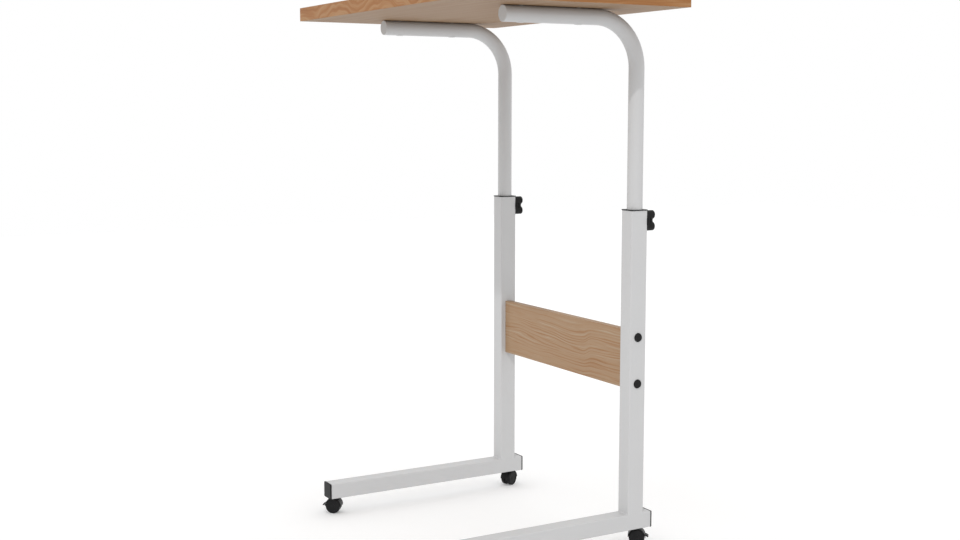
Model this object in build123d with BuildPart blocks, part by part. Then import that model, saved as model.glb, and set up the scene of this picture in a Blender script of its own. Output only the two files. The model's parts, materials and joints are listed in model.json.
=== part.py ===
from build123d import *

import os
from math import cos, radians, sin, sqrt

# Overbed table in millimetres. The origin is on the floor, under the middle of the top.
# +Z is up. -Y is the open side, where the feet run under the bed and the top reaches over it.
# Each side frame is a foot with a column standing near its rear end. A bent round tube slides
# in each column and the top lies on the two arms. A knob clamps each tube.

# Top
top_width = 600.0
top_depth = 400.0
top_height = 899.0
top_thickness = 23.0
edge_band = 1.0
laminate = 0.8
band_round = 0.6

# Side frames
frame_spacing = 409.2  # between the centre planes of the two side frames
column_y = 168.0
column_width = 28.0
column_depth = 31.0
column_wall = 1.0
column_top = 558.0
foot_length = 402.5
foot_height = 27.0
foot_wall = 1.2
tube_corner = 1.5  # outer corner radius of the rectangular tubes
cap_flange = 2.5
cap_proud = 0.4
cap_insert = 6.0
cap_wall = 1.6
cap_round = 1.0

# Crossbar
crossbar_bottom = 263.8
crossbar_height = 97.6
crossbar_thickness = 12.4
crossbar_band = 0.8
crossbar_screw_heights = (274.5, 351.3)
screw_head_radius = 4.5
screw_head_height = 3.0
screw_radius = 2.5
screw_length = 49.0
access_radius = 6.0
screw_socket_radius = 2.0
hole_cap_radius = 7.5
hole_cap_height = 1.7
hole_cap_draft = 25.0
hole_cap_skirt = 2.6
hole_cap_wall = 1.2

# Bent tubes and what is fitted to them
tube_radius = 12.7
tube_wall = 1.2
tube_bottom = 456.0
bend_radius = 78.0
arm_end_y = -80.2
plug_flange = 1.6
plug_insert = 14.0
plug_round = 1.0
glide_height = 10.0
glide_gap = 0.15
glide_corner = 0.8
glide_wall = 2.5
top_screw_places = (-50.0, 55.0)
top_screw_radius = 3.0
top_screw_head_radius = 5.0
top_screw_head_height = 3.5
top_screw_reach = 16.0
top_screw_socket_radius = 2.3
top_screw_socket_depth = 2.1
top_screw_hole_gap = 0.2
top_screw_access_gap = 0.4
insert_radius = 4.3
insert_length = 17.0
hole_plug_radius = 6.3
hole_plug_height = 0.7
hole_plug_skirt = 3.0
hole_plug_wall = 1.1

# Guide in the column's mouth
guide_flange = 1.6
guide_proud = 0.8
guide_bore = 12.8
guide_skirt = 40.0
guide_slot = 12.0
guide_gap = 0.05
guide_round = 0.5
guide_corner = 0.4

# Clamp: pad, stud, boss and knob, all on one axis along Y
knob_drop = 17.0
pad_radius = 4.5
pad_gap = 0.1
pad_hole_gap = 0.3
pad_back = 182.6
boss_radius = 6.5
boss_length = 8.0
boss_pocket = 3.0
stud_radius = 4.0
knob_gap = 0.3
knob_base_radius = 16.75
knob_base_height = 2.6
knob_lobe_start = 1.2  # keeps the lobes behind the guide's proud rim as they turn
knob_length = 17.3
knob_hub_radius = 6.3
knob_lobe_radius = 7.2
knob_lobe_ring = 10.9
knob_lobes = 3
knob_edge_round = 1.8
knob_skirt_radius = 9.6
knob_recess_radius = 7.1
knob_recess = 8.2
stud_embed = 6.0
stud_chamfer = 0.6

# Casters
caster_height = 29.0
caster_front_y = -184.0
caster_rear_y = 176.0
caster_trail = 4.3
caster_headings = {  # where each caster's trailing side points, in degrees from +X
    "front_left": 233.0,
    "front_right": 205.0,
    "rear_left": 116.0,
    "rear_right": 53.0,
}
wheel_radius = 13.2
wheel_inner = 3.4  # distances along the axle from the caster's middle plane
wheel_outer = 9.8
wheel_round = 1.7
wheel_gap = 0.5
wheel_hub_radius = 3.8
wheel_dish_radius = 9.4
wheel_dish_depth = 0.5
wheel_hollow_radius = 10.6
wheel_hollow_depth = 3.6
axle_radius = 1.5
axle_reach = 9.0
hood_half_width = 9.9
hood_bottom = 13.2
hood_top = 28.0
hood_radius = 14.8
hood_boss_radius = 6.5
hood_boss_height = 6.0
hood_edge_round = 0.8
web_half_width = 3.0
web_radius = 11.7
pivot_radius = 1.9
pivot_bottom = 16.5
collar_radius = 5.5
collar_gap = 0.1
stem_radius = 4.0
stem_hole_gap = 0.2
stem_top = 42.0
nut_half_flats = 6.5
nut_height = 6.0
running_gap = 0.05

# Brake lever, in the caster's own side view: distance behind the axle, height
lever_pivot = (8.0, 17.8)
lever_pivot_radius = 1.2
lever_boss_radius = 2.1
lever_neck = (14.4, 16.4)
lever_tip = (19.6, 14.0)
lever_thickness = 2.0
lever_neck_half_width = 1.6
lever_tab_half_width = 5.6
lever_lip = 0.5
lever_slot_gap = 0.2
lever_slot_near = 4.6
lever_slot_wide = 12.0
lever_slot_end = 18.0
lever_slot_top = 20.4

# Worked out from the above
frame_x = frame_spacing / 2
sides = {"left": -1, "right": 1}
column_bottom = caster_height + foot_height
column_inner_half = column_width / 2 - column_wall
column_back = column_y + column_depth / 2
foot_tube_length = foot_length - 2 * cap_flange
foot_middle = caster_height + foot_height / 2
top_bottom = top_height - top_thickness
arm_z = top_bottom - tube_radius
tube_bore = tube_radius - tube_wall
knob_z = column_top - knob_drop
knob_start = column_back + knob_gap
knob_end = column_back + knob_length
caster_places = {
    "front_left": (-frame_x, caster_front_y),
    "front_right": (frame_x, caster_front_y),
    "rear_left": (-frame_x, caster_rear_y),
    "rear_right": (frame_x, caster_rear_y),
}

os.makedirs("parts", exist_ok=True)


def save(piece, name):
    """Labels one finished piece and writes its STEP file."""
    piece.part.label = name
    export_step(piece.part, f"parts/{name}.step")


def across(x):
    """The plane at x that faces +X, with Y to its right and Z up."""
    return Plane.YZ.offset(x)


def facing_front(y):
    """The plane at y that faces -Y, with X to its right and Z up."""
    return Plane.XZ.offset(-y)


def column(name, side):
    """Rectangular column: four screw holes through its sides and the clamp hole behind."""
    x = side * frame_x
    with BuildPart() as tube:
        with BuildSketch(Plane.XY.offset(column_bottom)):
            with Locations((x, column_y)):
                RectangleRounded(column_width, column_depth, tube_corner)
                RectangleRounded(
                    column_width - 2 * column_wall,
                    column_depth - 2 * column_wall,
                    tube_corner - column_wall,
                    mode=Mode.SUBTRACT,
                )
        extrude(amount=column_top - column_bottom)
        # The screw passes the inner wall, and its head goes in through the outer wall.
        for radius, reach in ((access_radius, side), (screw_radius, -side)):
            with BuildSketch(across(x)):
                with Locations(*[(column_y, z) for z in crossbar_screw_heights]):
                    Circle(radius)
            extrude(amount=reach * column_width, mode=Mode.SUBTRACT)
        with BuildSketch(facing_front(column_y)):
            with Locations((x, knob_z)):
                Circle(pad_radius + pad_hole_gap)
        extrude(amount=-column_depth, mode=Mode.SUBTRACT)
    save(tube, name)


def foot(name, side):
    """Rectangular foot tube with a hole under each end for a caster stem."""
    x = side * frame_x
    with BuildPart() as tube:
        with BuildSketch(facing_front(-foot_tube_length / 2)):
            with Locations((x, foot_middle)):
                RectangleRounded(column_width, foot_height, tube_corner)
                RectangleRounded(
                    column_width - 2 * foot_wall,
                    foot_height - 2 * foot_wall,
                    tube_corner - foot_wall,
                    mode=Mode.SUBTRACT,
                )
        extrude(amount=-foot_tube_length)
        with BuildSketch(Plane.XY.offset(caster_height)):
            with Locations((x, caster_front_y), (x, caster_rear_y)):
                Circle(stem_radius + stem_hole_gap)
        extrude(amount=foot_wall, mode=Mode.SUBTRACT)
    save(tube, name)


def foot_cap(name, side, end):
    """Plug for a foot's end: a rounded flange with a thin box-shaped insert."""
    x = side * frame_x
    mouth = end * foot_tube_length / 2
    insert_width = column_width - 2 * foot_wall - 2 * running_gap
    insert_height = foot_height - 2 * foot_wall - 2 * running_gap
    with BuildPart() as cap:
        with BuildSketch(facing_front(mouth)):
            with Locations((x, foot_middle)):
                RectangleRounded(
                    column_width + 2 * cap_proud, foot_height + 2 * cap_proud, tube_corner + cap_proud
                )
        extrude(amount=-end * cap_flange)
        rim = cap.faces().sort_by(Axis.Y)[0 if end < 0 else -1].edges()
        fillet(rim, radius=cap_round)
        with BuildSketch(facing_front(mouth)):
            with Locations((x, foot_middle)):
                RectangleRounded(insert_width, insert_height, tube_corner / 2)
                Rectangle(insert_width - 2 * cap_wall, insert_height - 2 * cap_wall, mode=Mode.SUBTRACT)
        extrude(amount=end * cap_insert)
    save(cap, name)


def top_guide(name, side):
    """Guide in the column's mouth: a thin flange with a round bore, and two skirts that fill
    the crescents before and behind the round tube. The clamp pad passes the rear skirt."""
    x = side * frame_x
    inner_width = 2 * (column_inner_half - guide_gap)
    inner_depth = column_depth - 2 * column_wall - 2 * guide_gap
    with BuildPart() as guide:
        with BuildSketch(Plane.XY.offset(column_top)):
            with Locations((x, column_y)):
                RectangleRounded(
                    column_width + 2 * guide_proud, column_depth + 2 * guide_proud, tube_corner + guide_proud
                )
        extrude(amount=guide_flange)
        fillet(guide.faces().sort_by(Axis.Z)[-1].edges(), radius=guide_round)
        with BuildSketch(Plane.XY.offset(column_top)):
            with Locations((x, column_y)):
                RectangleRounded(inner_width, inner_depth, guide_corner)
                Rectangle(2 * inner_width, guide_slot, mode=Mode.SUBTRACT)
        extrude(amount=-guide_skirt)
        with BuildSketch(Plane.XY.offset(column_top + guide_flange)):
            with Locations((x, column_y)):
                Circle(guide_bore)
        extrude(amount=-(guide_flange + guide_skirt), mode=Mode.SUBTRACT)
        with BuildSketch(facing_front(column_y)):
            with Locations((x, knob_z)):
                Circle(pad_radius + running_gap)
        extrude(amount=-column_depth / 2, mode=Mode.SUBTRACT)
    save(guide, name)


def crossbar():
    """Board between the columns, its two edge bands, its four screws and their hole caps."""
    length = 2 * (frame_x - column_width / 2)
    middle = crossbar_bottom + crossbar_height / 2
    core_height = crossbar_height - 2 * crossbar_band
    seat = frame_x - column_inner_half
    with BuildPart() as panel:
        with BuildSketch(across(-length / 2)):
            with Locations((column_y, middle)):
                Rectangle(crossbar_thickness, core_height)
        extrude(amount=length)
        for side in sides.values():
            with BuildSketch(across(side * seat)):
                with Locations(*[(column_y, z) for z in crossbar_screw_heights]):
                    Circle(screw_radius)
            extrude(amount=-side * screw_length, mode=Mode.SUBTRACT)
    save(panel, "crossbar_panel")

    with BuildPart() as bands:
        with BuildSketch(across(-length / 2)):
            offset_z = (core_height + crossbar_band) / 2
            with Locations((column_y, middle - offset_z), (column_y, middle + offset_z)):
                Rectangle(crossbar_thickness, crossbar_band)
        extrude(amount=length)
    save(bands, "crossbar_edge_bands")

    with BuildPart() as screws:
        for side in sides.values():
            with BuildSketch(across(side * seat)):
                with Locations(*[(column_y, z) for z in crossbar_screw_heights]):
                    Circle(screw_head_radius)
                    RegularPolygon(radius=screw_socket_radius, side_count=6, mode=Mode.SUBTRACT)
            extrude(amount=side * screw_head_height)
            with BuildSketch(across(side * seat)):
                with Locations(*[(column_y, z) for z in crossbar_screw_heights]):
                    Circle(screw_radius)
            extrude(amount=-side * screw_length)
    save(screws, "crossbar_screws")

    with BuildPart() as caps:
        for side in sides.values():
            with BuildSketch(across(side * (frame_x + column_width / 2))):
                with Locations(*[(column_y, z) for z in crossbar_screw_heights]):
                    Circle(hole_cap_radius)
            extrude(amount=side * hole_cap_height, taper=hole_cap_draft)
            with BuildSketch(across(side * (frame_x + column_width / 2))):
                with Locations(*[(column_y, z) for z in crossbar_screw_heights]):
                    Circle(access_radius - running_gap)
                    Circle(access_radius - running_gap - hole_cap_wall, mode=Mode.SUBTRACT)
            extrude(amount=-side * hole_cap_skirt)
    save(caps, "screw_hole_caps")


def bent_tube(name, side):
    """Round tube: up out of the column, through one bend, then forward as the arm."""
    x = side * frame_x
    with BuildPart() as tube:
        with BuildLine(across(x)) as route:
            FilletPolyline(
                (column_y, tube_bottom), (column_y, arm_z), (arm_end_y, arm_z), radius=bend_radius
            )
        with BuildSketch(Plane.XY.offset(tube_bottom)):
            with Locations((x, column_y)):
                Circle(tube_radius)
                Circle(tube_bore, mode=Mode.SUBTRACT)
        sweep(path=route.line)
        access = top_screw_head_radius + top_screw_access_gap
        clearance = top_screw_radius + top_screw_hole_gap
        for radius, reach in ((access, -1), (clearance, 1)):
            with BuildSketch(Plane.XY.offset(arm_z)):
                with Locations(*[(x, y) for y in top_screw_places]):
                    Circle(radius)
            extrude(amount=reach * 2 * tube_radius, mode=Mode.SUBTRACT)
    save(tube, name)


def arm_plug(name, side):
    """Plug for the arm's open end: a domed disc with a hollow insert."""
    x = side * frame_x
    with BuildPart() as plug:
        with BuildSketch(facing_front(arm_end_y)):
            with Locations((x, arm_z)):
                Circle(tube_radius)
        extrude(amount=plug_flange)
        fillet(plug.faces().sort_by(Axis.Y)[0].edges(), radius=plug_round)
        with BuildSketch(facing_front(arm_end_y)):
            with Locations((x, arm_z)):
                Circle(tube_bore - running_gap)
                Circle(tube_bore - cap_wall, mode=Mode.SUBTRACT)
        extrude(amount=-plug_insert)
    save(plug, name)


def arm_hole_plugs():
    """Buttons that close the screw access holes under the arms. Each has a thin flange curved
    to the tube and a ring-shaped skirt in the hole."""
    skirt_radius = top_screw_head_radius + top_screw_access_gap - running_gap
    with BuildPart() as skirt:
        with BuildSketch(Plane.XY.offset(arm_z - tube_radius + hole_plug_skirt)):
            Circle(skirt_radius)
            Circle(skirt_radius - hole_plug_wall, mode=Mode.SUBTRACT)
        extrude(amount=-2 * hole_plug_skirt)
        with BuildSketch(facing_front(-tube_radius)):
            with Locations((0, arm_z)):
                Circle(tube_radius + hole_plug_height / 2)
        extrude(amount=-2 * tube_radius, mode=Mode.INTERSECT)
    with BuildPart() as button:
        with BuildSketch(facing_front(-tube_radius)):
            with Locations((0, arm_z)):
                Circle(tube_radius + hole_plug_height)
                Circle(tube_radius, mode=Mode.SUBTRACT)
        extrude(amount=-2 * tube_radius)
        with BuildSketch(Plane.XY.offset(arm_z)):
            Circle(hole_plug_radius)
        extrude(amount=-2 * tube_radius, mode=Mode.INTERSECT)
        add(skirt.part)
    with BuildPart() as plugs:
        for side in sides.values():
            for y in top_screw_places:
                add(button.part.moved(Location((side * frame_x, y, 0))))
    save(plugs, "arm_hole_plugs")


def tube_glide(name, side):
    """Glide on the tube's lower end: it fills the column's bore and stops the tube below
    the guide's skirts and above the upper crossbar screw."""
    x = side * frame_x
    glide_width = 2 * (column_inner_half - glide_gap)
    glide_depth = column_depth - 2 * column_wall - 2 * glide_gap
    with BuildPart() as glide:
        with BuildSketch(Plane.XY.offset(tube_bottom)):
            with Locations((x, column_y)):
                RectangleRounded(glide_width, glide_depth, glide_corner)
        extrude(amount=-glide_height)
        chamfer(glide.faces().sort_by(Axis.Z)[0].edges(), length=glide_corner)
        with BuildSketch(Plane.XY.offset(tube_bottom)):
            with Locations((x, column_y)):
                Circle(tube_bore - running_gap)
        extrude(amount=plug_insert)
        with BuildSketch(Plane.XY.offset(tube_bottom + plug_insert)):
            with Locations((x, column_y)):
                Circle(tube_bore - glide_wall)
        extrude(amount=-(plug_insert + glide_height), mode=Mode.SUBTRACT)
    save(glide, name)


def table_top():
    """Board, its laminates and edge bands, and the screws and threaded inserts that hold it."""
    insert_places = [(side * frame_x, y) for side in sides.values() for y in top_screw_places]
    core_width = top_width - 2 * edge_band
    core_depth = top_depth - 2 * edge_band
    with BuildPart() as board:
        with BuildSketch(Plane.XY.offset(top_bottom + laminate)):
            Rectangle(core_width, core_depth)
        extrude(amount=top_thickness - 2 * laminate)
        with BuildSketch(Plane.XY.offset(top_bottom + laminate)):
            with Locations(*insert_places):
                Circle(insert_radius)
        extrude(amount=insert_length, mode=Mode.SUBTRACT)
    save(board, "top_board")

    with BuildPart() as upper_sheet:
        with BuildSketch(Plane.XY.offset(top_height - laminate)):
            Rectangle(core_width, core_depth)
        extrude(amount=laminate)
    save(upper_sheet, "top_laminate")

    with BuildPart() as lower_sheet:
        with BuildSketch(Plane.XY.offset(top_bottom)):
            Rectangle(core_width, core_depth)
            with Locations(*insert_places):
                Circle(insert_radius, mode=Mode.SUBTRACT)
        extrude(amount=laminate)
    save(lower_sheet, "underside_laminate")

    with BuildPart() as long_bands:
        for end in (-1, 1):
            with BuildSketch(Plane.XY.offset(top_bottom)):
                with Locations((0, end * (top_depth - edge_band) / 2)):
                    Rectangle(top_width, edge_band)
            extrude(amount=top_thickness)
        outer = long_bands.edges().filter_by(Axis.X).group_by(Axis.Y)
        fillet(outer[0] + outer[-1], radius=band_round)
    save(long_bands, "long_edge_bands")

    with BuildPart() as short_bands:
        for side in (-1, 1):
            with BuildSketch(Plane.XY.offset(top_bottom)):
                with Locations((side * (top_width - edge_band) / 2, 0)):
                    Rectangle(edge_band, core_depth)
            extrude(amount=top_thickness)
        outer = short_bands.edges().filter_by(Axis.Y).group_by(Axis.X)
        fillet(outer[0] + outer[-1], radius=band_round)
    save(short_bands, "short_edge_bands")

    head_seat = arm_z + sqrt(tube_bore**2 - top_screw_head_radius**2)
    with BuildPart() as screws:
        with BuildSketch(Plane.XY.offset(head_seat)):
            with Locations(*insert_places):
                Circle(top_screw_head_radius)
        extrude(amount=-top_screw_head_height)
        with BuildSketch(Plane.XY.offset(head_seat - top_screw_head_height)):
            with Locations(*insert_places):
                RegularPolygon(radius=top_screw_socket_radius, side_count=6)
        extrude(amount=top_screw_socket_depth, mode=Mode.SUBTRACT)
        with BuildSketch(Plane.XY.offset(head_seat)):
            with Locations(*insert_places):
                Circle(top_screw_radius)
        extrude(amount=top_bottom + top_screw_reach - head_seat)
    save(screws, "top_screws")

    with BuildPart() as inserts:
        with BuildSketch(Plane.XY.offset(top_bottom)):
            with Locations(*insert_places):
                Circle(insert_radius)
                Circle(top_screw_radius, mode=Mode.SUBTRACT)
        extrude(amount=insert_length)
    save(inserts, "top_inserts")


def clamp(side_name, side):
    """One height clamp: welded boss, pad, threaded stud and knob handle."""
    x = side * frame_x
    # Each valley is an arc that touches the lobes on both sides of it and the hub circle.
    half_pitch = 180 / knob_lobes
    lobe_aside = knob_lobe_ring * sin(radians(half_pitch))
    lobe_short = knob_hub_radius - knob_lobe_ring * cos(radians(half_pitch))
    valley_radius = (lobe_aside**2 + lobe_short**2 - knob_lobe_radius**2) / (
        2 * (knob_lobe_radius - lobe_short)
    )
    valley_ring = knob_hub_radius + valley_radius
    star = [
        (ring * cos(radians(turn * half_pitch)), ring * sin(radians(turn * half_pitch)))
        for turn, ring in enumerate((valley_ring, knob_lobe_ring) * knob_lobes)
    ]
    with BuildPart() as boss:
        with BuildSketch(facing_front(column_back)):
            with Locations((x, knob_z)):
                Circle(boss_radius)
                Circle(stud_radius + running_gap, mode=Mode.SUBTRACT)
        extrude(amount=-boss_length)
        with BuildSketch(facing_front(column_back)):
            with Locations((x, knob_z)):
                Circle(pad_radius + pad_hole_gap)
        extrude(amount=-boss_pocket, mode=Mode.SUBTRACT)
    save(boss, f"{side_name}_clamp_boss")

    with BuildPart() as pad:
        with BuildSketch(facing_front(pad_back)):
            with Locations((x, knob_z)):
                Circle(pad_radius)
        extrude(amount=pad_back - column_y)
        with BuildSketch(Plane.XY.offset(knob_z - 2 * pad_radius)):
            with Locations((x, column_y)):
                Circle(tube_radius + pad_gap)
        extrude(amount=4 * pad_radius, mode=Mode.SUBTRACT)
    save(pad, f"{side_name}_clamp_pad")

    with BuildPart() as stud:
        with BuildSketch(facing_front(pad_back)):
            with Locations((x, knob_z)):
                Circle(stud_radius)
        extrude(amount=-(column_back + knob_recess + stud_embed - pad_back))
        chamfer(stud.faces().sort_by(Axis.Y)[0].edges(), length=stud_chamfer)
    save(stud, f"{side_name}_clamp_stud")

    with BuildPart() as handle:
        with BuildSketch(facing_front(knob_start + knob_lobe_start)):
            with Locations((x, knob_z)):
                Polygon(*star, align=None)
                with PolarLocations(valley_ring, knob_lobes):
                    Circle(valley_radius, mode=Mode.SUBTRACT)
                with PolarLocations(knob_lobe_ring, knob_lobes, start_angle=half_pitch):
                    Circle(knob_lobe_radius)
        extrude(amount=-(knob_end - knob_start - knob_lobe_start))
        fillet(handle.faces().sort_by(Axis.Y)[-1].edges(), radius=knob_edge_round)
        with BuildSketch(facing_front(knob_start)):
            with Locations((x, knob_z)):
                Circle(knob_base_radius)
        extrude(amount=-knob_base_height)
        with BuildSketch(facing_front(knob_start)):
            with Locations((x, knob_z)):
                Circle(knob_skirt_radius)
        extrude(amount=-knob_recess)
        with BuildSketch(facing_front(knob_start)):
            with Locations((x, knob_z)):
                Circle(knob_recess_radius)
        extrude(amount=-(column_back + knob_recess - knob_start), mode=Mode.SUBTRACT)
        with BuildSketch(facing_front(knob_start)):
            with Locations((x, knob_z)):
                Circle(stud_radius)
        extrude(amount=-(column_back + knob_recess + stud_embed - knob_start), mode=Mode.SUBTRACT)
    save(handle, f"{side_name}_knob_handle")


def caster_view(place, heading, shift=0.0):
    """The caster's side view: a plane along the heading, with its origin on the floor under
    the axle, Z up, and its normal along the axle. shift moves it along the axle."""
    ahead = Vector(cos(radians(heading)), sin(radians(heading)), 0)
    axle = Vector(sin(radians(heading)), -cos(radians(heading)), 0)
    stem = Vector(*place, 0)
    return Plane(origin=stem + ahead * caster_trail + axle * shift, x_dir=ahead, z_dir=axle)


def caster_stems():
    """Screw-in stems: thread into the foot, thin collar, and the plain pin the caster turns on."""
    collar_bottom = hood_top + collar_gap
    sections = (
        (pivot_bottom, caster_height, pivot_radius),
        (collar_bottom, caster_height, collar_radius),
        (caster_height, stem_top, stem_radius),
    )
    with BuildPart() as stems:
        for bottom, top, radius in sections:
            with BuildSketch(Plane.XY.offset(bottom)):
                with Locations(*caster_places.values()):
                    Circle(radius)
            extrude(amount=top - bottom)
        levels = stems.faces().filter_by(Axis.Z).group_by(Axis.Z)
        chamfer(levels[-1].edges(), length=stud_chamfer)
        chamfer(levels[0].edges(), length=pivot_radius / 4)
    save(stems, "caster_stems")


def caster_hood(name, place, heading):
    """Round hood over both wheels, with a boss for the stem and a middle web that runs down
    between the wheels and holds the pivot pin, the axle and the brake lever."""
    view = caster_view(place, heading)
    with BuildPart() as hood:
        with BuildSketch(view):
            with Locations((0, wheel_radius)):
                Circle(hood_radius)
            with Locations((0, hood_bottom)):
                Rectangle(
                    4 * hood_radius, 4 * hood_radius, align=(Align.CENTER, Align.MAX), mode=Mode.SUBTRACT
                )
            with Locations((0, hood_top)):
                Rectangle(4 * hood_radius, hood_radius, align=(Align.CENTER, Align.MIN), mode=Mode.SUBTRACT)
        extrude(amount=hood_half_width, both=True)
        sideways = Axis(view.origin, view.z_dir)
        rims = hood.faces().sort_by(sideways)
        fillet(rims[0].edges() + rims[-1].edges(), radius=hood_edge_round)
        with BuildSketch(Plane.XY.offset(hood_top)):
            with Locations(place):
                Circle(hood_boss_radius)
        extrude(amount=-hood_boss_height)
        # Wheel wells, open at the sides and below.
        for side in (-1, 1):
            with BuildSketch(caster_view(place, heading, side * web_half_width)):
                with Locations((0, wheel_radius)):
                    Circle(wheel_radius + wheel_gap)
            extrude(amount=side * 2 * hood_half_width, mode=Mode.SUBTRACT)
        with BuildSketch(view):
            with Locations((0, wheel_radius)):
                Circle(web_radius)
        extrude(amount=web_half_width, both=True)
        # Slot for the lever, open below: narrow inside the web, wide through the hood's wall.
        narrow = lever_neck_half_width + lever_slot_gap
        wide = lever_tab_half_width + lever_slot_gap
        for near, half_width in ((lever_slot_near, narrow), (lever_slot_wide, wide)):
            with BuildSketch(view):
                with Locations((near, lever_slot_top)):
                    Rectangle(
                        lever_slot_end - near, lever_slot_top - hood_bottom, align=(Align.MIN, Align.MAX)
                    )
            extrude(amount=half_width, both=True, mode=Mode.SUBTRACT)
        for centre, radius in (((0, wheel_radius), axle_radius), (lever_pivot, lever_pivot_radius)):
            with BuildSketch(view):
                with Locations(centre):
                    Circle(radius + running_gap)
            extrude(amount=web_half_width, both=True, mode=Mode.SUBTRACT)
        with BuildSketch(Plane.XY.offset(hood_top)):
            with Locations(place):
                Circle(pivot_radius + running_gap)
        extrude(amount=-(hood_top - pivot_bottom + running_gap), mode=Mode.SUBTRACT)
    save(hood, name)


def caster_wheel(name, place, heading, side):
    """Wheel with a rounded tread edge, a shallow dish in its outer face and a hollow back."""
    inner_face = caster_view(place, heading, side * wheel_inner)
    outer_face = caster_view(place, heading, side * wheel_outer)
    with BuildPart() as wheel:
        with BuildSketch(inner_face):
            with Locations((0, wheel_radius)):
                Circle(wheel_radius)
        extrude(amount=side * (wheel_outer - wheel_inner))
        outward = Axis(inner_face.origin, inner_face.z_dir * side)
        fillet(wheel.faces().filter_by(outward).sort_by(outward)[-1].edges(), radius=wheel_round)
        cuts = (
            (outer_face, wheel_dish_radius, -wheel_dish_depth),
            (inner_face, wheel_hollow_radius, wheel_hollow_depth),
        )
        for face, radius, depth in cuts:
            with BuildSketch(face):
                with Locations((0, wheel_radius)):
                    Circle(radius)
                    Circle(wheel_hub_radius, mode=Mode.SUBTRACT)
            extrude(amount=side * depth, mode=Mode.SUBTRACT)
        with BuildSketch(inner_face):
            with Locations((0, wheel_radius)):
                Circle(axle_radius)
        extrude(amount=side * (axle_reach - wheel_inner), mode=Mode.SUBTRACT)
    save(wheel, name)


def caster_axle(name, place, heading):
    """Plain axle pin, pressed into both wheels and free in the web."""
    with BuildPart() as axle:
        with BuildSketch(caster_view(place, heading)):
            with Locations((0, wheel_radius)):
                Circle(axle_radius)
        extrude(amount=axle_reach, both=True)
    save(axle, name)


def brake_lever(name, place, heading):
    """Foot-operated lever: a narrow neck on two trunnions in the web, and a wide tab outside."""
    view = caster_view(place, heading)
    half = lever_thickness / 2
    neck = [
        (lever_pivot[0], lever_pivot[1] - half),
        (lever_neck[0] + half, lever_neck[1] - half),
        (lever_neck[0] + half, lever_neck[1] + half),
        (lever_pivot[0], lever_pivot[1] + half),
    ]
    tab = [
        (lever_neck[0], lever_neck[1] - half),
        (lever_tip[0] - lever_lip, lever_tip[1] - half),
        (lever_tip[0], lever_tip[1] + half),
        (lever_neck[0] + half, lever_neck[1] + half),
        (lever_neck[0], lever_neck[1] + half - lever_lip),
    ]
    with BuildPart() as lever:
        with BuildSketch(view):
            with Locations(lever_pivot):
                Circle(lever_boss_radius)
            Polygon(*neck, align=None)
        extrude(amount=lever_neck_half_width, both=True)
        with BuildSketch(view):
            Polygon(*tab, align=None)
        extrude(amount=lever_tab_half_width, both=True)
        with BuildSketch(view):
            with Locations(lever_pivot):
                Circle(lever_pivot_radius)
        extrude(amount=web_half_width - running_gap, both=True)
    save(lever, name)


def caster_nuts():
    """Weld nuts inside the feet that the caster stems screw into."""
    with BuildPart() as nuts:
        with BuildSketch(Plane.XY.offset(caster_height + foot_wall)):
            with Locations(*caster_places.values()):
                RegularPolygon(radius=nut_half_flats, side_count=6, major_radius=False)
                Circle(stem_radius, mode=Mode.SUBTRACT)
        extrude(amount=nut_height)
    save(nuts, "caster_nuts")


for side_name, side in sides.items():
    column(f"{side_name}_column", side)
    foot(f"{side_name}_foot", side)
    foot_cap(f"{side_name}_front_foot_cap", side, -1)
    foot_cap(f"{side_name}_rear_foot_cap", side, 1)
    top_guide(f"{side_name}_top_guide", side)
    bent_tube(f"{side_name}_bent_tube", side)
    arm_plug(f"{side_name}_arm_plug", side)
    tube_glide(f"{side_name}_tube_glide", side)
    clamp(side_name, side)

crossbar()
table_top()
arm_hole_plugs()
caster_stems()
caster_nuts()

for corner, place in caster_places.items():
    heading = caster_headings[corner]
    caster_hood(f"{corner}_caster_hood", place, heading)
    caster_wheel(f"{corner}_caster_wheel_a", place, heading, -1)
    caster_wheel(f"{corner}_caster_wheel_b", place, heading, 1)
    caster_axle(f"{corner}_caster_axle", place, heading)
    brake_lever(f"{corner}_brake_lever", place, heading)
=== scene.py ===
"""Looks of the overbed table: a wood-grain top and crossbar on a white powder-coated frame."""

import json
from math import pi, radians, tau

import bmesh
import bpy
import numpy as np
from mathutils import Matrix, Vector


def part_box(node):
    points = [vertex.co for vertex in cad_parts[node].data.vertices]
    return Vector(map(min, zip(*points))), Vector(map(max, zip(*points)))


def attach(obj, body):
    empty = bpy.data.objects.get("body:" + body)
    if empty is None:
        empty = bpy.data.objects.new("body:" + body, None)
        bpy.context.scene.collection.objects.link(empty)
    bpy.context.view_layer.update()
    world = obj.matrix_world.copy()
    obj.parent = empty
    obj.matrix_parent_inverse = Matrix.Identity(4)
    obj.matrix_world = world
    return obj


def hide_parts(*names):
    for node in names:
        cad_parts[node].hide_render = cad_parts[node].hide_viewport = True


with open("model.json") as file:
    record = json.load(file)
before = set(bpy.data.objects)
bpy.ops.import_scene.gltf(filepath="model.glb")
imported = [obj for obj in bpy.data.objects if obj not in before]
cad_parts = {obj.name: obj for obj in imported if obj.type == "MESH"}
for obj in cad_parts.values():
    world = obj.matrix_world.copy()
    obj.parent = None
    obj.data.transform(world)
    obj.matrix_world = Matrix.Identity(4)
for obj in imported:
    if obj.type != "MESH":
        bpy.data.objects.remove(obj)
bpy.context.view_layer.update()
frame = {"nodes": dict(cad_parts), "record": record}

MM = 0.001
SIDES = ("left", "right")
WELD_DISTANCE = 1e-7
BEAD_RIPPLE = 1.7 * MM
BEAD_RIPPLE_SHARE = 0.05
BEAD_BLUNTNESS = 8
BEAD_BLUNT_ROOT = 0.25
CROSS_BEAD = 1.7 * MM
CROSS_BEAD_GAP = 0.1 * MM
CROSS_BEAD_INSET = 1.2 * MM
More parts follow.
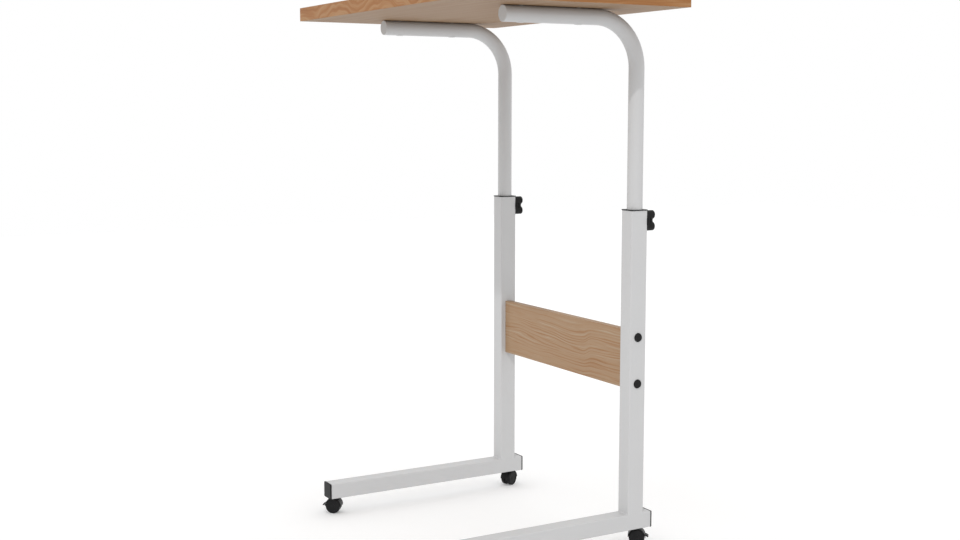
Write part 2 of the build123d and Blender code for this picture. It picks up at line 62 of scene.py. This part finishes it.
SIDE_BEAD = 1.1 * MM
SIDE_BEAD_PROUD = 0.12 * MM
SIDE_BEAD_DROP = 0.5 * MM
SIDE_BEAD_INSET = 0.6 * MM
BUTTON_FLANGE = 6.3 * MM
BUTTON_DOME = 0.5 * MM
BUTTON_RIM = 0.2 * MM
BUTTON_SKIRT = 5.2 * MM
BUTTON_TUCK = 0.1 * MM
BUTTON_DEPTH = 2.2 * MM
BUTTON_CROWN_RINGS = 18
BUTTON_AROUND = 48


def box(node):
    """Lowest and highest corners of a CAD node, as arrays."""
    low, high = (np.array(corner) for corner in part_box(node))
    return low, high


# --- Camera, lights and floor -------------------------------------------------------------

CAMERA_PLACE = (1.9487, -1.1211, 0.7168)
CAMERA_HEADING = 60.156
CAMERA_PITCH = 6.7825
LENS = 50.0
SENSOR_WIDTH = 36.0
NEAREST_SEEN = 0.01
SUN_TOWARDS = (0.667, -0.705, 1.0)
SUN_POWER = 1.0
SUN_SPREAD = 1.5
SKY = (1.0, 1.0, 1.0)
SKY_STRENGTH = 1.0
FLOOR_COLOUR = (0.955, 0.955, 0.955)
FLOOR_GLOW = 0.12
FLOOR_HALF = 6.0
FLOOR_ROWS = 5


def make_camera():
    """Camera a little under the top, looking slightly down at the columns."""
    lens = bpy.data.cameras.new("camera")
    lens.lens = LENS
    lens.sensor_width = SENSOR_WIDTH
    lens.clip_start = NEAREST_SEEN
    camera = bpy.data.objects.new("camera", lens)
    camera.location = CAMERA_PLACE
    camera.rotation_euler = (radians(90 - CAMERA_PITCH), 0, radians(CAMERA_HEADING))
    bpy.context.scene.collection.objects.link(camera)
    bpy.context.scene.camera = camera


def make_lights():
    """An even white studio dome, and one soft key light high on the open right side."""
    world = bpy.data.worlds.new("studio")
    world.use_nodes = True
    world.node_tree.nodes["Background"].inputs["Color"].default_value = (*SKY, 1)
    world.node_tree.nodes["Background"].inputs["Strength"].default_value = SKY_STRENGTH
    bpy.context.scene.world = world
    sun = bpy.data.lights.new("key", "SUN")
    sun.energy = SUN_POWER
    sun.angle = radians(SUN_SPREAD)
    key = bpy.data.objects.new("key", sun)
    x, y, z = SUN_TOWARDS
    key.rotation_euler = (np.arctan2(np.hypot(x, y), z), 0, np.arctan2(x, -y))
    bpy.context.scene.collection.objects.link(key)
    bpy.context.scene.view_settings.view_transform = "Standard"
    return key


# --- Shader helpers -----------------------------------------------------------------------


def node(tree, kind, inputs=None, **settings):
    """Adds a shader node. inputs maps sockets to values or to other nodes' outputs."""
    made = tree.nodes.new(kind)
    for name, value in settings.items():
        setattr(made, name, value)
    for socket, value in (inputs or {}).items():
        if isinstance(value, bpy.types.NodeSocket):
            tree.links.new(value, made.inputs[socket])
        else:
            made.inputs[socket].default_value = value
    return made


def maths(tree, operation, *values):
    """One arithmetic step, as its output socket."""
    return node(tree, "ShaderNodeMath", dict(enumerate(values)), operation=operation).outputs[0]


def ramp(tree, factor, *stops):
    """A colour ramp through (place, colour) stops, as its colour output."""
    made = node(tree, "ShaderNodeValToRGB", {"Fac": factor})
    elements = made.color_ramp.elements
    while len(elements) < len(stops):
        elements.new(1.0)
    for element, (place, colour) in zip(elements, stops):
        element.position = place
        element.color = (*colour, 1)
    return made.outputs["Color"]


def noise(tree, vector, scale, detail=2.0, roughness=0.5):
    """Fractal noise from 0 to 1 over a vector."""
    inputs = {"Vector": vector, "Scale": scale, "Detail": detail, "Roughness": roughness}
    return node(tree, "ShaderNodeTexNoise", inputs).outputs["Fac"]


def stretched(tree, vector, scale, offset=(0, 0, 0), turn=(0, 0, 0)):
    """Coordinates stretched, turned and then moved, as a vector output."""
    inputs = {"Vector": vector, "Location": offset, "Rotation": turn, "Scale": scale}
    return node(tree, "ShaderNodeMapping", inputs).outputs["Vector"]


def streaks(tree, flow, along, across, detail, roughness):
    """Noise drawn out with the grain: along and across are its features to a metre."""
    return noise(tree, stretched(tree, flow, scale=(along, across, 1)), 1.0, detail, roughness)


def start_material(name):
    """A new node material: its tree, its shader and the object coordinates."""
    made = bpy.data.materials.new(name)
    made.use_nodes = True
    tree = made.node_tree
    shader = tree.nodes["Principled BSDF"]
    where = node(tree, "ShaderNodeTexCoord").outputs["Object"]
    return made, tree, shader, where


def wire(tree, shader, height, strength, depth, **links):
    """Joins a bump height and other outputs to the shader."""
    bump = node(tree, "ShaderNodeBump", {"Height": height, "Strength": strength, "Distance": depth})
    tree.links.new(bump.outputs["Normal"], shader.inputs["Normal"])
    for socket, value in links.items():
        tree.links.new(value, shader.inputs[socket.replace("_", " ")])


def span(tree, value, low, high):
    """Maps 0..1 to low..high."""
    return node(tree, "ShaderNodeMapRange", {0: value, 3: low, 4: high}).outputs[0]


def shades(colour, share):
    """A colour made darker and made lighter by a share of itself."""
    dark = tuple(channel * (1 - share) for channel in colour)
    light = tuple(channel * (1 + share) for channel in colour)
    return dark, light


# --- Materials ----------------------------------------------------------------------------

COAT_UNEVEN = 0.012
RINGS_TO_A_LINE = 0.75
RING_WANDER = 22.0
RINGS_LAST = (0.36, 0.58)
FIBRE_SHADE = 0.11
PORE_SHADE = 0.14
FLOOR_UNEVEN = 0.004


def painted_steel(name, colour=(0.505, 0.505, 0.508)):
    """Satin powder coat: faint orange peel, a hint of unevenness in colour and gloss."""
    made, tree, shader, where = start_material(name)
    peel = noise(tree, where, scale=900.0, detail=2.0, roughness=0.45)
    cloud = noise(tree, where, scale=14.0, detail=3.0, roughness=0.6)
    dark, light = shades(colour, COAT_UNEVEN)
    tint = ramp(tree, cloud, (0.25, dark), (0.75, light))
    gloss = span(tree, cloud, low=0.42, high=0.50)
    wire(tree, shader, peel, strength=0.12, depth=0.06 * MM, Base_Color=tint, Roughness=gloss)
    shader.inputs["Specular IOR Level"].default_value = 0.4
    return made


def moulded_plastic(name, colour, roughness, shine, grit=2600.0, depth=0.05, uneven=0.2):
    """Moulded plastic with a fine spark-eroded texture, depth millimetres deep, and a little
    scuffing, which changes its colour by the share uneven."""
    made, tree, shader, where = start_material(name)
    texture = noise(tree, where, scale=grit, detail=3.0, roughness=0.6)
    scuff = noise(tree, where, scale=160.0, detail=4.0, roughness=0.65)
    dark, light = shades(colour, uneven)
    tint = ramp(tree, scuff, (0.3, dark), (0.72, light))
    gloss = span(tree, scuff, low=roughness - 0.05, high=roughness + 0.08)
    wire(tree, shader, texture, strength=0.35, depth=depth * MM, Base_Color=tint, Roughness=gloss)
    shader.inputs["Specular IOR Level"].default_value = shine
    return made


def plated_steel(name):
    """Bright zinc plate with fine turning marks and a faint blue-yellow passivation."""
    made, tree, shader, where = start_material(name)
    turned = stretched(tree, where, scale=(300, 300, 4000))
    marks = noise(tree, turned, scale=1.0, detail=2.0, roughness=0.5)
    patches = noise(tree, where, scale=60.0, detail=2.0, roughness=0.5)
    tint = ramp(tree, patches, (0.3, (0.60, 0.61, 0.63)), (0.7, (0.67, 0.66, 0.62)))
    gloss = span(tree, marks, low=0.24, high=0.42)
    wire(tree, shader, marks, strength=0.25, depth=0.02 * MM, Base_Color=tint, Roughness=gloss)
    shader.inputs["Metallic"].default_value = 1.0
    return made


def particle_board(name):
    """Pressed chips: light and dark flakes a few millimetres across."""
    made, tree, shader, where = start_material(name)
    flakes = node(tree, "ShaderNodeTexVoronoi", {"Vector": where, "Scale": 420.0})
    chips = maths(tree, "ADD", flakes.outputs["Distance"], noise(tree, where, scale=900.0))
    tint = ramp(tree, chips, (0.4, (0.30, 0.20, 0.11)), (1.0, (0.56, 0.43, 0.28)))
    wire(tree, shader, chips, strength=0.6, depth=0.2 * MM, Base_Color=tint)
    shader.inputs["Roughness"].default_value = 0.85
    return made


def even_rings(tree, flow, pushed, growth, lines, share, band):
    """Mixes even rings into the growth lines: a sine across the grain, whose phase slow noise
    shifts, where another slow noise lets the rings last. share is the most they take."""
    drift = streaks(tree, flow, along=5.0, across=lines * 0.22, detail=2.0, roughness=0.5)
    wandering = maths(tree, "MULTIPLY", drift, RING_WANDER)
    phase = maths(tree, "MULTIPLY_ADD", pushed, tau * lines * RINGS_TO_A_LINE, wandering)
    wave = maths(tree, "MULTIPLY_ADD", maths(tree, "SINE", phase), 0.5, 0.5)
    even = span(tree, wave, low=0.34, high=0.66)
    lasting = streaks(tree, flow, along=7.0, across=lines * 0.12, detail=2.0, roughness=0.5)
    first, last = RINGS_LAST
    lasts = node(tree, "ShaderNodeMapRange", {0: lasting, 1: first, 2: last, 3: 0.0, 4: share}).outputs[0]
    taken = maths(tree, "MULTIPLY", lasts, band)
    return node(tree, "ShaderNodeMix", {0: taken, 2: growth, 3: even}).outputs[0]


def wood_grain(
    name, turn, seed, lines, bend, figure, stops, shine=0.2, lead=None, fine=1.0, rings=0.0
):
    """Printed wood grain. turn brings the grain onto X and the face across it onto Y. The
    growth lines are noise drawn far out along the grain, lines to a metre across it, after
    slow noise has pushed them sideways by bend metres; figure sets how fast that changes
    along and across. lead adds a course of its own for the lines to follow. stops are the
    (place, colour) pairs of the growth ramp. rings is the share of even rings mixed in. Fine
    fibres and short pores lie over it, and fine scales how much they darken it."""
    made, tree, shader, where = start_material(name)
    laid = stretched(tree, where, scale=(1, 1, 1), offset=(0, 0, seed), turn=turn)
    along, across, depth = node(tree, "ShaderNodeSeparateXYZ", {0: laid}).outputs
    slow = streaks(tree, laid, along=figure[0], across=figure[1], detail=2.0, roughness=0.45)
    pushed = maths(tree, "MULTIPLY_ADD", slow, bend, maths(tree, "ADD", across, depth))
    band = 1.0
    if lead:
        shift, band = lead(tree, along, across)
        pushed = maths(tree, "ADD", pushed, shift)
    flow = node(tree, "ShaderNodeCombineXYZ", {0: along, 1: pushed, 2: depth}).outputs[0]
    growth = streaks(tree, flow, along=3.0, across=lines, detail=4.0, roughness=0.62)
    if rings:
        growth = even_rings(tree, flow, pushed, growth, lines, rings, band)
    tint = ramp(tree, growth, *stops)
    fibre = streaks(tree, flow, along=16, across=lines * 7, detail=3.0, roughness=0.7)
    pores = streaks(tree, flow, along=70, across=lines * 16, detail=1.0, roughness=0.5)
    pore_mask = node(tree, "ShaderNodeMapRange", {0: pores, 1: 0.60, 2: 0.74}).outputs[0]
    shade = span(tree, fibre, low=1.0 - FIBRE_SHADE * fine, high=1.0 + FIBRE_SHADE * fine)
    pored = maths(tree, "MULTIPLY_ADD", pore_mask, -PORE_SHADE * fine, shade)
    tone = node(tree, "ShaderNodeVectorMath", {0: tint, "Scale": pored}, operation="SCALE").outputs[0]
    height = maths(tree, "SUBTRACT", fibre, pore_mask)
    gloss = span(tree, growth, low=0.46, high=0.56)
    wire(tree, shader, height, strength=0.25, depth=0.04 * MM, Base_Color=tone, Roughness=gloss)
    shader.inputs["Specular IOR Level"].default_value = shine
    return made


COURSE_HEIGHT = 0.316
COURSE_HALF = 0.19
COURSE_SWING = 0.030
COURSE_BAND = (0.004, 0.042)
CROSSBAR_COURSE = (
    (0.0, 0.40), (0.12, 0.40), (0.27, 0.58), (0.42, 0.60), (0.54, 0.76), (0.67, 0.80), (0.76, 0.44),
    (0.85, 0.46), (1.0, 0.36),
)


def crossbar_course(tree, along, across):
    """The crossbar's main lines: level at the left end, easing down to two thirds of the way,
    up over a short crest, then level again. Returns their shift and the band they fill, which
    is full at COURSE_HEIGHT and fades to a quarter away from it."""
    ends = {0: along, 1: -COURSE_HALF, 2: COURSE_HALF}
    length = node(tree, "ShaderNodeMapRange", ends).outputs[0]
    curve = node(tree, "ShaderNodeFloatCurve", {"Value": length})
    line = curve.mapping.curves[0]
    for place, height in CROSSBAR_COURSE[1:-1]:
        line.points.new(place, height)
    for point, (place, height) in zip(line.points, CROSSBAR_COURSE):
        point.location = (place, height)
    curve.mapping.update()
    off_middle = maths(tree, "ABSOLUTE", maths(tree, "SUBTRACT", across, COURSE_HEIGHT))
    full, faded = COURSE_BAND
    band = node(tree, "ShaderNodeMapRange", {0: off_middle, 1: full, 2: faded, 3: 1.0, 4: 0.25})
    band.interpolation_type = "SMOOTHSTEP"
    fall = maths(tree, "MULTIPLY", maths(tree, "SUBTRACT", curve.outputs[0], 0.5), COURSE_SWING)
    return maths(tree, "MULTIPLY", fall, band.outputs[0]), band.outputs[0]


def floor_material():
    """Plain pale studio floor with a barely visible mottle."""
    made, tree, shader, where = start_material("studio_floor")
    mottle = noise(tree, where, scale=3.0, detail=3.0, roughness=0.5)
    _, light = shades(FLOOR_COLOUR, FLOOR_UNEVEN)
    tint = ramp(tree, mottle, (0.3, FLOOR_COLOUR), (0.7, light))
    wire(tree, shader, mottle, strength=0.02, depth=0.1 * MM, Base_Color=tint)
    shader.inputs["Roughness"].default_value = 0.9
    shader.inputs["Emission Color"].default_value = (1, 1, 1, 1)
    shader.inputs["Emission Strength"].default_value = FLOOR_GLOW
    return made


ALONG_X_FACING_FRONT = (radians(-90), 0, 0)
ALONG_Y_FACING_SIDE = (radians(-90), radians(-90), 0)
FLAT = (0, 0, 0)

MATERIALS = {
    "white_steel": painted_steel("white_powder_coat"),
    "white_plastic": moulded_plastic(
        "white_plastic", (0.50, 0.50, 0.50), roughness=0.45, shine=0.35, uneven=0.02,
    ),
    "black_plastic": moulded_plastic(
        "black_plastic", (0.0105, 0.0105, 0.0108), roughness=0.42, shine=0.14,
    ),
    "black_nylon": moulded_plastic(
        "black_nylon", (0.011, 0.011, 0.0115), roughness=0.38, shine=0.14, grit=3400.0, depth=0.03,
    ),
    "nylon": moulded_plastic(
        "natural_nylon", (0.62, 0.60, 0.54), roughness=0.5, shine=0.4, uneven=0.04,
    ),
    "zinc_steel": plated_steel("zinc_plate"),
    "particle_board": particle_board("particle_board"),
}
UNDERSIDE = wood_grain(
    "underside_grain", turn=FLAT, seed=3.0, lines=110.0, bend=0.03, figure=(3.0, 6.0),
    stops=((0.30, (0.228, 0.128, 0.062)), (0.48, (0.262, 0.166, 0.097)), (0.66, (0.288, 0.198, 0.126))),
    shine=0.10, fine=0.45,
)
UPPER = wood_grain(
    "upper_grain", turn=FLAT, seed=7.0, lines=170.0, bend=0.035, figure=(3.5, 7.0),
    stops=((0.30, (0.250, 0.112, 0.040)), (0.43, (0.300, 0.150, 0.062)), (0.52, (0.350, 0.200, 0.096)),
           (0.60, (0.310, 0.160, 0.068)), (0.72, (0.370, 0.225, 0.118))),
    shine=0.25, fine=0.8, rings=0.7,
)
EDGE_STOPS = (
    (0.36, (0.270, 0.110, 0.034)), (0.47, (0.310, 0.140, 0.050)), (0.55, (0.355, 0.195, 0.090)),
    (0.66, (0.320, 0.155, 0.060)), (0.78, (0.290, 0.120, 0.040)),
)
LONG_EDGE = wood_grain(
    "long_edge_grain", turn=ALONG_X_FACING_FRONT, seed=11.0, lines=105.0, bend=0.10,
    figure=(10.0, 3.0), stops=EDGE_STOPS, fine=0.8, rings=0.5,
)
SHORT_EDGE = wood_grain(
    "short_edge_grain", turn=ALONG_Y_FACING_SIDE, seed=17.0, lines=130.0, bend=0.03,
    figure=(6.0, 3.0), stops=EDGE_STOPS, fine=0.8, rings=0.4,
)
CROSSBAR = wood_grain(
    "crossbar_grain", turn=ALONG_X_FACING_FRONT, seed=0.0, lines=235.0, bend=0.007, figure=(12.0, 22.0),
    stops=((0.32, (0.268, 0.131, 0.056)), (0.43, (0.317, 0.187, 0.100)), (0.50, (0.349, 0.234, 0.145)),
           (0.56, (0.327, 0.204, 0.115)), (0.66, (0.390, 0.296, 0.208))),
    lead=crossbar_course, fine=0.6, rings=0.95,
)
NODE_MATERIALS = {
    "underside_laminate": UNDERSIDE,
    "top_laminate": UPPER,
    "long_edge_bands": LONG_EDGE,
    "short_edge_bands": SHORT_EDGE,
    "crossbar_panel": CROSSBAR,
    "crossbar_edge_bands": CROSSBAR,
}


def dress_nodes():
    """Gives every CAD node its finish: its own grain, or its material slot's."""
    slots = {part["node"]: part["material_slot"] for part in frame["record"]["subparts"]}
    for name, piece in frame["nodes"].items():
        finish = NODE_MATERIALS.get(name) or MATERIALS[slots[name]]
        piece.data.materials.clear()
        piece.data.materials.append(finish)


# --- Numpy surfaces -----------------------------------------------------------------------


def quads_between(number):
    """Four-cornered faces between neighbours in a rows x columns array of vertex numbers."""
    quads = [number[:-1, :-1], number[:-1, 1:], number[1:, 1:], number[1:, :-1]]
    return np.stack(quads, axis=-1).reshape(-1, 4)


def tube_faces(rows, columns, first):
    """Faces of a rows x columns sheet whose columns join up into rings. first is the number
    of its first vertex."""
    number = first + np.arange(rows * columns).reshape(rows, columns)
    return quads_between(np.hstack([number, number[:, :1]]))


def ring_piece(name, grids, finish, body):
    """One smooth closed piece from grids of rows x columns x 3 points. Each row is a ring and
    each grid's first and last rings have shrunk to a point, so merging closes both poles."""
    points, faces, first = [], [], 0
    for grid in grids:
        rows, columns = grid.shape[:2]
        points.append(grid.reshape(-1, 3))
        faces.append(tube_faces(rows, columns, first))
        first += rows * columns
    mesh = bpy.data.meshes.new(name)
    mesh.from_pydata(np.concatenate(points).tolist(), [], np.concatenate(faces).tolist())
    shape = bmesh.new()
    shape.from_mesh(mesh)
    bmesh.ops.remove_doubles(shape, verts=shape.verts, dist=WELD_DISTANCE)
    bmesh.ops.recalc_face_normals(shape, faces=shape.faces)
    shape.to_mesh(mesh)
    shape.free()
    mesh.shade_smooth()
    mesh.materials.append(finish)
    piece = bpy.data.objects.new(name, mesh)
    bpy.context.scene.collection.objects.link(piece)
    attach(piece, body)
    return piece


def bead(start, end, leg, rings=96, around=20):
    """A weld bead from start to end. Its radius is leg, times the fourth root of
    1 - (2s - 1)^8 so that both ends close in a blunt round, times a ripple of 5% whose waves
    are BEAD_RIPPLE long; s runs from 0 to 1 along the bead."""
    start, end = np.array(start), np.array(end)
    length = np.linalg.norm(end - start)
    along = (end - start) / length
    beside = np.cross(along, (0, 0, 1))
    share = (1 - np.cos(pi * np.linspace(0, 1, rings))) / 2
    angle = np.linspace(0, tau, around, endpoint=False)
    blunt = np.clip(1 - (2 * share - 1) ** BEAD_BLUNTNESS, 0, None) ** BEAD_BLUNT_ROOT
    ripple = 1 + BEAD_RIPPLE_SHARE * np.sin(tau * share * length / BEAD_RIPPLE)
    radius = leg * blunt * ripple
    middle = start + share[:, None] * (end - start)
    out = np.cos(angle)[:, None] * beside + np.sin(angle)[:, None] * np.array((0, 0, 1))
    return middle[:, None, :] + radius[:, None, None] * out[None, :, :]


def foot_welds(side):
    """Beads where a column stands on its foot: full ones across the front and back, and slim
    ones that fill the groove along the two flush sides."""
    low, high = box(f"{side}_column")
    seat = low[2]
    grids = []
    for y, outward in ((low[1], -1), (high[1], 1)):
        place = y + outward * CROSS_BEAD_GAP
        ends = [(x, place, seat) for x in (low[0] + CROSS_BEAD_INSET, high[0] - CROSS_BEAD_INSET)]
        grids.append(bead(*ends, CROSS_BEAD))
    for x, outward in ((low[0], -1), (high[0], 1)):
        inset = x - outward * (SIDE_BEAD - SIDE_BEAD_PROUD)
        ys = (low[1] + SIDE_BEAD_INSET, high[1] - SIDE_BEAD_INSET)
        ends = [(inset, y, seat - SIDE_BEAD_DROP) for y in ys]
        grids.append(bead(*ends, SIDE_BEAD))
    ring_piece(f"{side}_foot_welds", grids, MATERIALS["white_steel"], "lower_frame")


def arm_hole_buttons():
    """Buttons that close the screw holes under the arms. Rings run out over a crown that is
    the tube's own curve plus a dome of height (1 - (r / flange)^2) ^ 0.5, round the flange's
    rim, in to the skirt, up inside the tube and back to the axis."""
    low, high = box("arm_hole_plugs")
    plug_low, plug_high = box("right_arm_plug")
    tube, axis_z = (plug_high[2] - plug_low[2]) / 2, (plug_low[2] + plug_high[2]) / 2
    crown = BUTTON_FLANGE * np.sin(np.linspace(0, pi / 2, BUTTON_CROWN_RINGS))
    dome = BUTTON_DOME * np.sqrt(np.clip(1 - (crown / BUTTON_FLANGE) ** 2, 0, None))
    under = np.array([BUTTON_FLANGE, BUTTON_SKIRT, BUTTON_SKIRT, 0.0])
    depth = np.array([BUTTON_TUCK, BUTTON_TUCK, BUTTON_DEPTH, BUTTON_DEPTH])
    radius = np.concatenate([crown, under])[:, None]
    proud = np.concatenate([dome + BUTTON_RIM, -depth])[:, None]
    angle = np.linspace(0, tau, BUTTON_AROUND, endpoint=False)[None, :]
    x, y = radius * np.cos(angle), radius * np.sin(angle)
    z = axis_z - np.sqrt((tube + proud) ** 2 - x**2)
    grids = [
        np.stack([centre_x + x, centre_y + y, z], axis=-1)
        for centre_x in (low[0] + BUTTON_FLANGE, high[0] - BUTTON_FLANGE)
        for centre_y in (low[1] + BUTTON_FLANGE, high[1] - BUTTON_FLANGE)
    ]
    finish = MATERIALS["white_plastic"]
    buttons = ring_piece("arm_hole_buttons", grids, finish, "table_upper")
    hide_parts("arm_hole_plugs")


def make_floor():
    """A flat sheet on z = 0, wide enough to fill every view."""
    steps = np.linspace(-FLOOR_HALF, FLOOR_HALF, FLOOR_ROWS)
    x, y = np.meshgrid(steps, steps)
    points = np.stack([x, y, np.zeros_like(x)], axis=-1)
    quads = quads_between(np.arange(FLOOR_ROWS**2).reshape(FLOOR_ROWS, FLOOR_ROWS))
    mesh = bpy.data.meshes.new("floor")
    mesh.from_pydata(points.reshape(-1, 3).tolist(), [], quads.tolist())
    mesh.materials.append(floor_material())
    floor = bpy.data.objects.new("floor", mesh)
    bpy.context.scene.collection.objects.link(floor)
    return floor


def keep_key_off(key, floor):
    """The dome lights the floor and the key light does not, so it shows no hard shadow."""
    unlit = bpy.data.collections.new("unlit_by_key")
    unlit.objects.link(floor)
    key.light_linking.receiver_collection = unlit
    unlit.collection_objects[0].light_linking.link_state = "EXCLUDE"


make_camera()
keep_key_off(make_lights(), make_floor())
dress_nodes()
for side_name in SIDES:
    foot_welds(side_name)
arm_hole_buttons()
